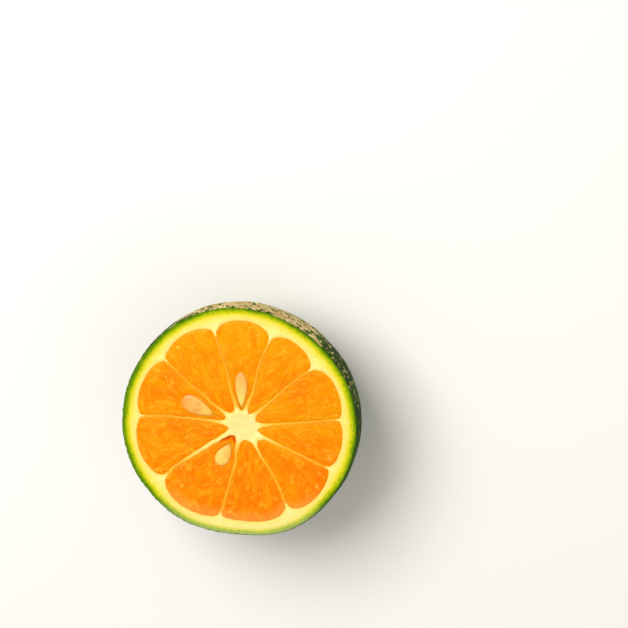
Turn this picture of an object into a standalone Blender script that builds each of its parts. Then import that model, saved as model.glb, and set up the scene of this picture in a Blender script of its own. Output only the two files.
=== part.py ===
"""Half of a rangpur lime, cut across a little above its widest place and lying on its stem end.

Metres, +Z up. Z 0 is the surface that the half rests on, the Z axis runs through the middle of
the half's outline, and the cut face is level, at the top. Inside the skin lies the pith, which
is one body with the core and the walls between the segments. Ten segments of pulp fill the
chambers between those walls, and three seeds lie in pockets of the pulp.
"""

import math

import bmesh
import bpy
from mathutils import Matrix, Vector

MM = 0.001

# The whole fruit is a ball, flatter than it is wide, and the knife passed just above its equator.
EQUATOR_RADIUS = 29.9 * MM
POLE_RADIUS = 27.0 * MM
CUT_ABOVE_EQUATOR = 3.7 * MM

# Its outline is a little square, with a first corner at an angle from +X, and flattened on one
# side. Angles are in degrees, and both shares are of the radius.
CORNERS = 4
FIRST_CORNER_ANGLE = 8.0
CORNER_SHARE = 0.007
FLAT_SIDE_ANGLE = 267.0
FLAT_SIDE_HALF_WIDTH = 20.0
FLAT_SIDE_SHARE = 0.047

# The stem end: a shallow ring round a basin that holds the calyx. The half rests on three small
# flat spots of the ring, and the ring rises a little between them.
RING_OUTER_RADIUS = 8.5 * MM
RING_INNER_RADIUS = 5.8 * MM
RING_RISE = 0.25 * MM
SPOTS = 3
SPOT_HALF_ANGLE = 7.0
BASIN_FLOOR_RADIUS = 3.2 * MM
BASIN_DEPTH = 1.9 * MM

# Layers, and the gap that separate solids keep.
SKIN_THICKNESS = 1.7 * MM
PULP_POLE_RADIUS = 20.5 * MM
PULP_BOTTOM_ANGLE = math.radians(73.0)
GAP = 0.3 * MM
CUTTER_STANDS_OUT = 1.0 * MM

# The core stands a little off the middle of the outline. For each segment round it: the angles
# of the wall before it, at the rind and at the core, the thickness of the rind at that wall and
# over the segment's crown, and how far from the core's middle its tip begins.
CORE_CENTRE = Vector((0.9 * MM, -0.4 * MM, 0.0))
SEGMENTS = (
    (5, 4, 4.6 * MM, 3.0 * MM, 3.8 * MM),
    (40, 43, 6.3 * MM, 3.8 * MM, 3.5 * MM),
    (71, 74, 6.8 * MM, 3.3 * MM, 4.0 * MM),
    (105, 105, 6.6 * MM, 3.4 * MM, 4.3 * MM),
    (140, 142, 5.3 * MM, 3.2 * MM, 4.7 * MM),
    (175, 171, 5.0 * MM, 3.2 * MM, 3.6 * MM),
    (214, 208, 6.2 * MM, 3.1 * MM, 3.2 * MM),
    (255, 258, 5.0 * MM, 3.4 * MM, 3.5 * MM),
    (298, 304, 6.0 * MM, 2.9 * MM, 5.2 * MM),
    (335, 332, 5.0 * MM, 3.3 * MM, 3.8 * MM),
)
LEAST_DEPTH = 0.5 * MM

# The walls run straight from the core to their reach, and thicken where they leave the core.
# Between two walls the pulp's crown is an arch, squarer than an ellipse as the power grows past 2.
CORE_RADIUS = 3.4 * MM
WALL_REACH = 24.0 * MM
WALL_HALF_THICKNESS = 0.3 * MM
WALL_ROOT_HALF_THICKNESS = 0.35 * MM
WALL_ROOT_LENGTH = 4.0 * MM
ARCH_POWER = 2.2

# Seeds: (segment, centre x, centre y, angle that the tip points at, length, width, thickness).
SEEDS = (
    (3, 0.9 * MM, 9.0 * MM, 270.0, 8.8 * MM, 2.9 * MM, 2.5 * MM),
    (5, -10.4 * MM, 4.3 * MM, 335.0, 8.6 * MM, 4.1 * MM, 3.1 * MM),
    (7, -3.9 * MM, -7.8 * MM, 58.0, 6.3 * MM, 3.5 * MM, 3.0 * MM),
)
SEED_TAPER = 0.42
SEED_STANDS_PROUD = 0.35 * MM

# The pulp has drawn back from the core beside the last seed, and left a hollow.
HOLLOW_CENTRE = Vector((-1.5 * MM, -3.3 * MM, 0.0))
HOLLOW_RADII = (1.8 * MM, 1.3 * MM, 1.6 * MM)

# The calyx, a small dry star with the scar of the stem on it.
CALYX_LOBES = 5
CALYX_RADIUS = 2.5 * MM
CALYX_NOTCH_RADIUS = 1.5 * MM
CALYX_THICKNESS = 0.5 * MM
STEM_SCAR_RADIUS = 1.0 * MM
STEM_SCAR_HEIGHT = 0.5 * MM

# Facets.
TURN_STEPS = 60
PROFILE_STEPS = 9
PULP_LEVELS = 7
ARCH_POINTS = 11
WALL_POINTS = 4
SEED_SIDES = 18
SEED_RINGS = 10
SHARP_ANGLE = math.radians(40.0)

EQUATOR_Z = POLE_RADIUS * math.sqrt(1.0 - (RING_OUTER_RADIUS / EQUATOR_RADIUS) ** 2)
CUT_Z = EQUATOR_Z + CUT_ABOVE_EQUATOR

COLOURS = {
    "skin": (0.055, 0.19, 0.022),
    "pith": (0.93, 0.80, 0.33),
    "pulp": (0.95, 0.33, 0.01),
    "seed": (0.90, 0.62, 0.30),
    "calyx": (0.24, 0.19, 0.07),
}
ROUGHNESS = {"skin": 0.35, "pith": 0.6, "pulp": 0.25, "seed": 0.3, "calyx": 0.8}


def clear_scene():
    for obj in list(bpy.data.objects):
        bpy.data.objects.remove(obj, do_unlink=True)


def new_collection(name):
    collection = bpy.data.collections.new(name)
    bpy.context.scene.collection.children.link(collection)
    return collection


def material(name):
    made = bpy.data.materials.get(name)
    if made is None:
        made = bpy.data.materials.new(name)
        made.use_nodes = True
        shader = made.node_tree.nodes["Principled BSDF"]
        shader.inputs["Base Color"].default_value = (*COLOURS[name], 1.0)
        shader.inputs["Roughness"].default_value = ROUGHNESS[name]
        shader.inputs["Metallic"].default_value = 0.0
    return made


def add_part(name, mesh, collection, finish):
    obj = bpy.data.objects.new(name, mesh)
    collection.objects.link(obj)
    mesh.materials.append(material(finish))
    mesh.shade_smooth()
    mesh.set_sharp_from_angle(angle=SHARP_ANGLE)
    return obj


def add_cutter(name, mesh, collection):
    obj = bpy.data.objects.new(name, mesh)
    collection.objects.link(obj)
    obj.hide_render = True
    obj.display_type = "WIRE"
    return obj


def degrees_apart(angle, other):
    return (angle - other + 180.0) % 360.0 - 180.0


def roundness(angle):
    """The outline's radius at an angle in degrees, as a share of a round fruit's."""
    corners = CORNER_SHARE * math.cos(math.radians(CORNERS * (angle - FIRST_CORNER_ANGLE)))
    aside = degrees_apart(angle, FLAT_SIDE_ANGLE) / FLAT_SIDE_HALF_WIDTH
    return 1.0 + corners - FLAT_SIDE_SHARE * math.exp(-aside * aside)


def outline_middle():
    """The middle of the box round the fruit's widest outline."""
    points = []
    for step in range(360):
        turn = math.radians(step)
        reach = EQUATOR_RADIUS * roundness(step)
        points.append((reach * math.cos(turn), reach * math.sin(turn)))
    across, along = zip(*points)
    return Vector(((min(across) + max(across)) / 2, (min(along) + max(along)) / 2, 0.0))


def ball_profile(inset, top, bottom):
    """Points (radius, height) down the outside of the fruit, or of a layer inset from it."""
    wide = EQUATOR_RADIUS - inset
    high = POLE_RADIUS - inset
    first = math.asin((top - EQUATOR_Z) / high)
    last = math.asin(max((bottom - EQUATOR_Z) / high, -1.0))
    points = []
    for step in range(PROFILE_STEPS + 1):
        rise = first + (last - first) * step / PROFILE_STEPS
        points.append((wide * math.cos(rise), EQUATOR_Z + high * math.sin(rise)))
    return points


def basin_profile():
    """Points from the flat ring up into the basin at the stem."""
    points = [(RING_INNER_RADIUS, 0.0)]
    for share in (0.25, 0.5, 0.75, 1.0):
        reach = RING_INNER_RADIUS + (BASIN_FLOOR_RADIUS - RING_INNER_RADIUS) * share
        points.append((reach, BASIN_DEPTH * 0.5 * (1.0 - math.cos(math.pi * share))))
    points.append((0.0, BASIN_DEPTH))
    return points


def turned_mesh(name, profile):
    """The profile turned round the Z axis, then pressed out of round more and more with height."""
    mesh = bpy.data.meshes.new(name + "_profile")
    points = [(reach, 0.0, height) for reach, height in profile]
    mesh.from_pydata(points, [(i, i + 1) for i in range(len(points) - 1)], [])
    obj = bpy.data.objects.new(name + "_profile", mesh)
    bpy.context.scene.collection.objects.link(obj)
    screw = obj.modifiers.new("turn", "SCREW")
    screw.steps = TURN_STEPS
    screw.render_steps = TURN_STEPS
    screw.use_merge_vertices = True
    screw.merge_threshold = 0.00001
    graph = bpy.context.evaluated_depsgraph_get()
    turned = bpy.data.meshes.new_from_object(obj.evaluated_get(graph))
    turned.name = name
    bpy.data.objects.remove(obj, do_unlink=True)
    bpy.data.meshes.remove(mesh)
    for vertex in turned.vertices:
        share = min(vertex.co.z / EQUATOR_Z, 1.0)
        weight = share * share * (3.0 - 2.0 * share)
        angle = math.degrees(math.atan2(vertex.co.y, vertex.co.x))
        if share == 0.0:
            vertex.co.z = ring_lift(angle)
        factor = 1.0 + (roundness(angle) - 1.0) * weight
        vertex.co.x *= factor
        vertex.co.y *= factor
    return turned


def ring_lift(angle):
    """How far the ring stands above its flat spots, the first of which is at +X."""
    between = 180.0 / SPOTS
    aside = between - abs(angle % (2.0 * between) - between)
    share = max(aside - SPOT_HALF_ANGLE, 0.0) / (between - SPOT_HALF_ANGLE)
    return RING_RISE * share * share * (3.0 - 2.0 * share)


def inner_floor(inset):
    """Height of a layer's own bottom, which lies flat above the basin."""
    return BASIN_DEPTH + inset


def skin_mesh():
    """The green outer rind, open at the cut."""
    outside = ball_profile(0.0, CUT_Z, 0.0)
    inside = ball_profile(SKIN_THICKNESS, CUT_Z, inner_floor(SKIN_THICKNESS))
    profile = [(0.0, inside[-1][1])] + inside[::-1] + outside + basin_profile()
    return turned_mesh("skin", profile)


def pith_mesh():
    """The pale inner rind as a full bowl, before its chambers are cut."""
    inset = SKIN_THICKNESS + GAP
    side = ball_profile(inset, CUT_Z, inner_floor(inset))
    return turned_mesh("pith", [(0.0, CUT_Z)] + side + [(0.0, side[-1][1])])


def reach_of_rind(angle):
    """The cut face's radius at an angle in degrees, measured from the core."""
    turn = math.radians(angle)
    cut_radius = EQUATOR_RADIUS * math.sqrt(1.0 - (CUT_ABOVE_EQUATOR / POLE_RADIUS) ** 2)
    aside = CORE_CENTRE.x * math.cos(turn) + CORE_CENTRE.y * math.sin(turn)
    return cut_radius * roundness(angle) - aside


def wall_angle(index, reach):
    """Angle in degrees of a wall's middle, which bends a little between the core and the rind."""
    outer, inner = SEGMENTS[index % len(SEGMENTS)][:2]
    share = min(max((reach - CORE_RADIUS) / (WALL_REACH - CORE_RADIUS), 0.0), 1.0)
    angle = inner + (outer - inner) * share
    return angle + (360.0 if index >= len(SEGMENTS) else 0.0)


def wall_half_thickness(reach):
    root = math.exp(-max(reach - CORE_RADIUS, 0.0) / WALL_ROOT_LENGTH)
    return WALL_HALF_THICKNESS + WALL_ROOT_HALF_THICKNESS * root


def segment_point(segment, across, outward, shrink, inset):
    """A point of a segment's section, from the middle of the core.

    across runs from -1 at one wall to 1 at the next, outward from 0 at the tip to 1 at the rind,
    shrink is the section's size as a share of the widest, and inset draws every side in.
    """
    _, _, rind_at_first, rind_at_crown, tip = SEGMENTS[segment]
    rind_at_last = SEGMENTS[(segment + 1) % len(SEGMENTS)][2]
    rind_at_wall = rind_at_first + (rind_at_last - rind_at_first) * (across + 1.0) / 2
    first = wall_angle(segment, WALL_REACH)
    last = wall_angle(segment + 1, WALL_REACH)
    rind = reach_of_rind((first + last) / 2 + across * (last - first) / 2)
    crown = (rind - rind_at_crown) * shrink - inset
    notch = (rind - rind_at_wall) * shrink - inset
    arch = math.sqrt(max(1.0 - abs(across) ** ARCH_POWER, 0.0))
    end = notch + (crown - notch) * arch
    start = min(tip + inset, notch - LEAST_DEPTH)
    reach = start + (end - start) * outward
    aside = math.degrees((wall_half_thickness(reach) + inset) / reach)
    low = wall_angle(segment, reach) + aside
    high = wall_angle(segment + 1, reach) - aside
    turn = math.radians((low + high) / 2 + across * (high - low) / 2)
    return Vector((reach * math.cos(turn), reach * math.sin(turn), 0.0))


def segment_outline():
    """(across, outward) round a segment's section, against the clock from its tip."""
    walk = [(-1.0 + step, 0.0) for step in (0.0, 1.0)]
    walk += [(1.0, step / WALL_POINTS) for step in range(WALL_POINTS)]
    for step in range(ARCH_POINTS):
        walk.append((math.cos(math.pi * step / (ARCH_POINTS - 1)), 1.0))
    walk += [(-1.0, 1.0 - step / WALL_POINTS) for step in range(1, WALL_POINTS)]
    return walk


def loft_mesh(name, loops):
    """A closed skin over loops of as many points each, with flat ends."""
    work = bmesh.new()
    rings = [[work.verts.new(point) for point in loop] for loop in loops]
    count = len(loops[0])
    for low, high in zip(rings, rings[1:]):
        for i in range(count):
            j = (i + 1) % count
            work.faces.new((low[i], low[j], high[j], high[i]))
    work.faces.new(rings[0][::-1])
    work.faces.new(rings[-1])
    bmesh.ops.recalc_face_normals(work, faces=work.faces[:])
    mesh = bpy.data.meshes.new(name)
    work.to_mesh(mesh)
    work.free()
    return mesh


def segment_mesh(name, segment, inset, above_cut):
    """One segment of pulp, or with no inset the chamber that holds it."""
    first = math.asin(CUT_ABOVE_EQUATOR / PULP_POLE_RADIUS)
    last = -PULP_BOTTOM_ANGLE
    loops = []
    for level in range(PULP_LEVELS + 1):
        rise = first + (last - first) * level / PULP_LEVELS
        height = EQUATOR_Z + PULP_POLE_RADIUS * math.sin(rise)
        if level == PULP_LEVELS:
            height += inset
        shrink = math.cos(rise) / math.cos(first)
        loops.append([
            CORE_CENTRE + segment_point(segment, across, outward, shrink, inset)
            + Vector((0.0, 0.0, height))
            for across, outward in segment_outline()
        ])
    if above_cut:
        lift = Vector((0.0, 0.0, above_cut))
        loops.insert(0, [point + lift for point in loops[0]])
    return loft_mesh(name, loops[::-1])


def seed_mesh(name, seed, extra):
    """A seed blunt at one end and pointed at the other, or with extra the pocket round it."""
    _, x, y, tip_angle, length, width, thickness = seed
    work = bmesh.new()
    bmesh.ops.create_uvsphere(work, u_segments=SEED_SIDES, v_segments=SEED_RINGS, radius=1.0)
    bmesh.ops.rotate(work, verts=work.verts[:], matrix=Matrix.Rotation(math.pi / 2, 3, "Y"))
    for vertex in work.verts:
        slim = 1.0 - SEED_TAPER * vertex.co.x
        vertex.co.x *= length / 2 + extra
        vertex.co.y *= width / 2 * slim + extra
        vertex.co.z *= thickness / 2 * slim + extra
    mesh = bpy.data.meshes.new(name)
    work.to_mesh(mesh)
    work.free()
    top = max(vertex.co.z for vertex in mesh.vertices) - extra
    place = Matrix.Translation((x, y, CUT_Z + SEED_STANDS_PROUD - top))
    mesh.transform(place @ Matrix.Rotation(math.radians(tip_angle), 4, "Z"))
    return mesh


def hollow_mesh():
    work = bmesh.new()
    bmesh.ops.create_uvsphere(work, u_segments=SEED_SIDES, v_segments=SEED_RINGS, radius=1.0)
    bmesh.ops.scale(work, vec=HOLLOW_RADII, verts=work.verts[:])
    bmesh.ops.translate(work, vec=HOLLOW_CENTRE + Vector((0.0, 0.0, CUT_Z)), verts=work.verts[:])
    mesh = bpy.data.meshes.new("hollow")
    work.to_mesh(mesh)
    work.free()
    return mesh


def calyx_mesh():
    """A five-pointed star, with the round scar of the stem standing down from it."""
    corners = 8 * CALYX_LOBES
    star = []
    for step in range(corners):
        turn = 2.0 * math.pi * step / corners
        lobe = 0.5 + 0.5 * math.cos(CALYX_LOBES * turn)
        star.append((CALYX_NOTCH_RADIUS + (CALYX_RADIUS - CALYX_NOTCH_RADIUS) * lobe, turn))
    scar = [(STEM_SCAR_RADIUS, turn) for _, turn in star]
    roof = BASIN_DEPTH - GAP
    underside = roof - CALYX_THICKNESS
    sections = (
        (star, 0.9, roof), (star, 1.0, roof - 0.4 * CALYX_THICKNESS), (star, 0.9, underside),
        (scar, 1.1, underside), (scar, 1.0, underside - STEM_SCAR_HEIGHT),
    )
    loops = [
        [(reach * size * math.cos(turn), reach * size * math.sin(turn), height)
         for reach, turn in section]
        for section, size, height in sections
    ]
    return loft_mesh("calyx", loops[::-1])


def cut(obj, cutter):
    boolean = obj.modifiers.new("cut " + cutter.name, "BOOLEAN")
    boolean.operation = "DIFFERENCE"
    boolean.solver = "EXACT"
    boolean.object = cutter


def build():
    clear_scene()
    fruit = new_collection("rangpur_lime_half")
    cutters = new_collection("cutters")
    middle = bpy.data.objects.new("middle_of_outline", None)
    fruit.objects.link(middle)
    middle.location = -outline_middle()

    skin = add_part("skin", skin_mesh(), fruit, "skin")
    pith = add_part("pith", pith_mesh(), fruit, "pith")
    calyx = add_part("calyx", calyx_mesh(), fruit, "calyx")
    pieces = [skin, pith, calyx]

    segments = {}
    for number in range(1, len(SEGMENTS) + 1):
        room = f"chamber_{number:02d}"
        chamber = add_cutter(room, segment_mesh(room, number - 1, 0.0, CUTTER_STANDS_OUT), cutters)
        cut(pith, chamber)
        name = f"segment_{number:02d}"
        segments[number] = add_part(name, segment_mesh(name, number - 1, GAP, 0.0), fruit, "pulp")
        pieces += [chamber, segments[number]]

    for number, seed in enumerate(SEEDS, start=1):
        name = f"seed_{number:02d}"
        pocket = add_cutter("pocket_" + name, seed_mesh(name, seed, GAP), cutters)
        cut(segments[seed[0]], pocket)
        pieces += [add_part(name, seed_mesh(name, seed, 0.0), fruit, "seed"), pocket]

    hollow = add_cutter("hollow", hollow_mesh(), cutters)
    cut(segments[SEEDS[-1][0]], hollow)
    pieces.append(hollow)

    for piece in pieces:
        piece.parent = middle


build()
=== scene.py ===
"""The looks of a rangpur lime half, lying on its stem end with the cut face up.

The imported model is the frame. Every piece below stands for nodes of it, in metres, +Z up, and
angles are in degrees, anticlockwise from +X.
"""

import math

import bmesh
import bpy
import numpy as np
from mathutils import Matrix, Quaternion, Vector
from mathutils.kdtree import KDTree


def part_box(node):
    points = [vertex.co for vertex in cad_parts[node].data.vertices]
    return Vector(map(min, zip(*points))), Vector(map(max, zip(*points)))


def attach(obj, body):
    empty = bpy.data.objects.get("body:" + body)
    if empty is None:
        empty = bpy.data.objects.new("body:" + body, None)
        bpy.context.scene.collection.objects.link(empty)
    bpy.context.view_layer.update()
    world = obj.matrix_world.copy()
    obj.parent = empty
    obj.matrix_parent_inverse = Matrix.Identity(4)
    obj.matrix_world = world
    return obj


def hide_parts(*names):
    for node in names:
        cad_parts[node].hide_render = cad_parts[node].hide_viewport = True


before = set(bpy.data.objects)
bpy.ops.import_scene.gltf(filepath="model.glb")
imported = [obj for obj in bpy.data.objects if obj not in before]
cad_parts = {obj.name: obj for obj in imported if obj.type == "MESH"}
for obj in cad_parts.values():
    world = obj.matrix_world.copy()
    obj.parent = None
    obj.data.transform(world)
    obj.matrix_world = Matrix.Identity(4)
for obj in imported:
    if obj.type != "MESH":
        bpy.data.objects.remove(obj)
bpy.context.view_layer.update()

MM = 0.001


# Skin
# The green outer rind is a cup under two millimetres thick, and each pebble of its surface is an
# oil gland. A plain knife cut it, so its rim is flat. A patch of the side has healed as brown cork.

EQUATOR_RADIUS = 29.9 * MM
POLE_RADIUS = 27.0 * MM
CUT_ABOVE_EQUATOR = 3.7 * MM
CUT_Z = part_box("skin")[1].z
EQUATOR_Z = CUT_Z - CUT_ABOVE_EQUATOR
SKIN_THICKNESS = 1.85 * MM

CORNERS = 4
FIRST_CORNER_ANGLE = 8.0
CORNER_SHARE = 0.007
FLAT_SIDE_ANGLE = 267.0
FLAT_SIDE_HALF_WIDTH = 20.0
FLAT_SIDE_SHARE = 0.047

RING_OUTER_RADIUS = 8.5 * MM
RING_INNER_RADIUS = 5.8 * MM
RING_RISE = 0.25 * MM
RING_FADES_BY = 0.6 * MM
SPOTS = 3
SPOT_HALF_ANGLE = 7.0
BASIN_FLOOR_RADIUS = 3.2 * MM
BASIN_DEPTH = 1.9 * MM

WELD = 0.001 * MM
SHARP_ANGLE = math.radians(50.0)
NEARLY_ZERO = 1e-9


def smoothly(low, high, value):
    """0 up to low, 1 from high on, and an even rise between."""
    share = np.clip((value - low) / (high - low), 0.0, 1.0)
    return share * share * (3.0 - 2.0 * share)


def lengths(points):
    return np.sqrt((points * points).sum(axis=1))


def angle_of(points):
    return np.degrees(np.arctan2(points[:, 1], points[:, 0]))


def roundness(angle):
    """The outline's radius at some angles, as a share of a round fruit's."""
    corners = CORNER_SHARE * np.cos(np.radians(CORNERS * (angle - FIRST_CORNER_ANGLE)))
    aside = ((angle - FLAT_SIDE_ANGLE + 180.0) % 360.0 - 180.0) / FLAT_SIDE_HALF_WIDTH
    return 1.0 + corners - FLAT_SIDE_SHARE * np.exp(-aside * aside)


def outline_middle():
    """The middle of the outline's box, which the frame has at its origin."""
    angle = np.arange(360.0)
    reach = EQUATOR_RADIUS * roundness(angle)
    x = reach * np.cos(np.radians(angle))
    y = reach * np.sin(np.radians(angle))
    return np.array([(x.min() + x.max()) / 2, (y.min() + y.max()) / 2, 0.0])


MIDDLE = outline_middle()


def pressed_out_of_round(points):
    """The outline's slow waves, stronger with height."""
    factor = 1.0 + (roundness(angle_of(points)) - 1.0) * smoothly(0.0, EQUATOR_Z, points[:, 2])
    return points * np.stack([factor, factor, np.ones(len(points))], axis=1)


def waves(points, length, seed, count=14):
    """Soft uneven hills of about that length, mostly between -1 and 1.

    Their random draw starts from seed, and a name that ends in _DRAW gives one.
    """
    draw = np.random.default_rng(seed)
    aims = draw.normal(size=(count, 3))
    aims *= 2.0 * math.pi / length / lengths(aims)[:, None]
    turns = draw.uniform(0.0, 2.0 * math.pi, count)
    return np.sin(points @ aims.T + turns).sum(axis=1) / math.sqrt(count)


def layered_waves(points, layers, seed):
    """Waves laid over one another, each layer a height and a length."""
    return sum(height * waves(points, length, seed + step)
               for step, (height, length) in enumerate(layers))


def nearest_cells(places, points):
    """For each point: how far the nearest place is, how much further the next, the nearest's number."""
    tree = KDTree(len(places))
    for number, place in enumerate(places):
        tree.insert(place, number)
    tree.balance()
    found = np.array([[(hit[2], hit[1]) for hit in tree.find_n(point, 2)] for point in points])
    return found[:, 0, 0], found[:, 1, 0] - found[:, 0, 0], found[:, 0, 1].astype(int)


def add_piece(name, add, **where):
    """A primitive, alone in the selection, under its own name."""
    bpy.ops.object.select_all(action="DESELECT")
    add(**where)
    piece = bpy.context.object
    piece.name = name
    piece.data.name = name
    return piece


def points_of(piece):
    points = np.empty(len(piece.data.vertices) * 3)
    piece.data.vertices.foreach_get("co", points)
    return points.reshape(-1, 3)


def add_sheet(name, columns, rows):
    """A grid, with the column and row of each of its points."""
    piece = add_piece(name, bpy.ops.mesh.primitive_grid_add,
                      x_subdivisions=columns, y_subdivisions=rows, size=2.0)
    flat = points_of(piece)
    column = np.rint((flat[:, 0] + 1.0) / 2.0 * columns).astype(int)
    row = np.rint((flat[:, 1] + 1.0) / 2.0 * rows).astype(int)
    return piece, column, row


def place_points(piece, points, values):
    """Moves a piece's points to their places, and keeps named values that its material reads."""
    piece.data.vertices.foreach_set("co", np.ascontiguousarray(points - MIDDLE).ravel())
    for label, value in values.items():
        layer = piece.data.attributes.new(label, "FLOAT", "POINT")
        layer.data.foreach_set("value", np.ascontiguousarray(value, dtype=np.float32))


def weld():
    """Takes the piece at hand into edit mode, and merges its seam and poles."""
    bpy.ops.object.mode_set(mode="EDIT")
    bpy.ops.mesh.select_all(action="SELECT")
    bpy.ops.mesh.remove_doubles(threshold=WELD)


def face_outwards():
    """Turns the faces of the piece in edit mode outwards, and smooths it."""
    bpy.ops.mesh.select_all(action="SELECT")
    bpy.ops.mesh.normals_make_consistent(inside=False)
    bpy.ops.object.mode_set(mode="OBJECT")
    bpy.ops.object.shade_smooth_by_angle(angle=SHARP_ANGLE)


def paint(red, green, blue):
    """A colour given as on a screen, 0 to 255, for a shader's socket."""
    screen = np.array([red, green, blue]) / 255.0
    linear = np.where(screen < 0.04045, screen / 12.92, ((screen + 0.055) / 1.055) ** 2.4)
    return (*map(float, linear), 1.0)


class Wire:
    """An output of a material's node. Python's signs on it add Math nodes."""

    def __init__(self, socket):
        self.socket = socket

    def node(self, kind, settings, values, output=0):
        """Adds a node of any kind, its settings first, then its sockets' values or links."""
        made = self.socket.id_data.nodes.new(kind)
        for name, value in settings.items():
            if name == "stops":
                set_stops(made.color_ramp, value)
            else:
                setattr(made, name, value)
        fill_sockets(made, values)
        return Wire(made.outputs[output])

    def math(self, operation, first, second=0.0):
        return self.node("ShaderNodeMath", {"operation": operation}, {0: first, 1: second})

    def __add__(self, other):
        return self.math("ADD", self, other)

    def __sub__(self, other):
        return self.math("SUBTRACT", self, other)

    def __rsub__(self, other):
        return self.math("SUBTRACT", other, self)

    def __mul__(self, other):
        return self.math("MULTIPLY", self, other)

    __radd__ = __add__
    __rmul__ = __mul__


def set_stops(ramp, stops):
    """Gives a new colour ramp its stops, each a position and a colour, from 0 to 1."""
    ramp.elements[0].color = stops[0][1]
    ramp.elements[1].color = stops[-1][1]
    for position, colour in stops[1:-1]:
        ramp.elements.new(position).color = colour


def fill_sockets(node, values):
    """Sets a node's sockets, each to a plain value or by a link."""
    for name, value in values.items():
        if isinstance(value, Wire):
            node.id_data.links.new(value.socket, node.inputs[name])
        else:
            node.inputs[name].default_value = value


def noise(place, size, detail=2.0, rough=0.5, curl=0.0):
    """Cloudy values round 0.5, with spots of about that size."""
    values = {"Vector": place, "Scale": 1.0 / size, "Detail": detail, "Roughness": rough,
              "Distortion": curl}
    return place.node("ShaderNodeTexNoise", {}, values)


def cells(place, size):
    """How far a point is from the middle of its cell, in cells of about that size."""
    return place.node("ShaderNodeTexVoronoi", {}, {"Vector": place, "Scale": 1.0 / size})


def between(low, high, value):
    """The shader's form of smoothly()."""
    return value.node("ShaderNodeMapRange", {"interpolation_type": "SMOOTHSTEP"},
                      {"Value": value, "From Min": low, "From Max": high})


def by_stops(value, stops):
    """A colour that runs through stops as a value goes from 0 to 1."""
    return value.node("ShaderNodeValToRGB", {"stops": stops}, {"Fac": value})


def painted_over(colour, *coats):
    """Lays coats of colour over a first one, each with the share that it covers."""
    for coat, share in coats:
        colour = share.node("ShaderNodeMix", {"data_type": "RGBA"}, {0: share, 6: colour, 7: coat}, 2)
    return colour


def kept_value(place, label):
    return place.node("ShaderNodeAttribute", {"attribute_name": label}, {}, "Fac")


def along_axis(place, axis):
    """How far a point lies along X, Y or Z, given as 0, 1 or 2."""
    return place.node("ShaderNodeSeparateXYZ", {}, {0: place}, axis)


def new_material(name):
    """A material, and the wire of its Object coordinates."""
    made = bpy.data.materials.new(name)
    made.use_nodes = True
    where = made.node_tree.nodes.new("ShaderNodeTexCoord")
    return made, Wire(where.outputs["Object"])


def finish_material(made, colour, roughness, height, lift, **finish):
    """Wires up the shader. height bumps the surface by lift where it is 1."""
    bump = height.node("ShaderNodeBump", {}, {"Height": height, "Distance": lift})
    values = {name.replace("_", " "): value for name, value in finish.items()}
    values |= {"Base Color": colour, "Roughness": roughness, "Normal": bump}
    fill_sockets(made.node_tree.nodes["Principled BSDF"], values)


SKIN_COLUMNS = 600
SKIN_INSIDE_ROWS = 4
SKIN_RIM_ROWS = 6
SKIN_OUTSIDE_ROWS = 136
SKIN_RING_ROWS = 5
SKIN_BASIN_ROWS = 9

GLAND_SPACING = 1.25 * MM
GLAND_JITTER = 0.36 * MM
GLAND_DRAW = 11
GLAND_OWN_DRAW = 12
GROOVE_WIDTH = 0.60 * MM
GROOVE_DEPTH = 0.11 * MM
PIT_RADIUS = 0.30 * MM
PIT_DEPTH = 0.08 * MM
PIT_SHARE = 0.50
DOME_HEIGHT = 0.10 * MM
LUMP_LENGTH = 9.0 * MM
LUMP_HEIGHT = 0.07 * MM
LUMP_DRAW = 13
RIM_ROUNDING = 0.5 * MM
RELIEF_STARTS = (0.05 * MM, 1.2 * MM)

CORK_HEIGHT = 0.09 * MM
CORK_BUMP_LENGTH = 1.3 * MM
CORK_BUMP_DRAW = 24
CORK_STARTS = (28.0, 62.0)
CORK_ENDS = (100.0, 158.0)
CORK_FADES = (7.0 * MM, 17.0 * MM)
CORK_EDGE_WAVE = 3.0 * MM
CORK_EDGE_LENGTH = 14.0 * MM
CORK_EDGE_DRAW = 21
CORK_ISLANDS = ((0.20, 5.0 * MM), (0.18, 1.9 * MM))
CORK_ISLANDS_DRAW = 22
STRAYS_START = (2.0, 16.0)
STRAYS_END = (60.0, 80.0)
STRAYS_FADE = (4.0 * MM, 8.0 * MM)
STRAYS_SHARE = 0.46


def ball_side(inset, top, bottom, rows):
    """Radius and height down the side of the fruit, or of a layer inset from it."""
    wide = EQUATOR_RADIUS - inset
    high = POLE_RADIUS - inset
    first = math.asin((top - EQUATOR_Z) / high)
    last = math.asin((bottom - EQUATOR_Z) / high)
    turn = np.linspace(first, last, rows + 1)
    return np.stack([wide * np.cos(turn), EQUATOR_Z + high * np.sin(turn)], axis=1)


def skin_profile():
    """Rows of radius and height, from the middle of the cup's inside to that of the basin."""
    inner_floor = BASIN_DEPTH + SKIN_THICKNESS
    inside = ball_side(SKIN_THICKNESS, CUT_Z, inner_floor, SKIN_INSIDE_ROWS - 1)[::-1]
    outside = ball_side(0.0, CUT_Z, 0.0, SKIN_OUTSIDE_ROWS)
    rim = np.linspace(inside[-1], outside[0], SKIN_RIM_ROWS + 1)[1:-1]
    ring = np.linspace([RING_OUTER_RADIUS, 0.0], [RING_INNER_RADIUS, 0.0], SKIN_RING_ROWS + 1)[1:-1]
    share = np.linspace(0.0, 1.0, SKIN_BASIN_ROWS)
    basin_reach = RING_INNER_RADIUS + (BASIN_FLOOR_RADIUS - RING_INNER_RADIUS) * share
    basin = np.stack([basin_reach, BASIN_DEPTH * (0.5 - 0.5 * np.cos(math.pi * share))], axis=1)
    middle = [[0.0, BASIN_DEPTH]]
    return np.concatenate([[[0.0, inner_floor]], inside, rim, outside, ring, basin, middle])


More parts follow.
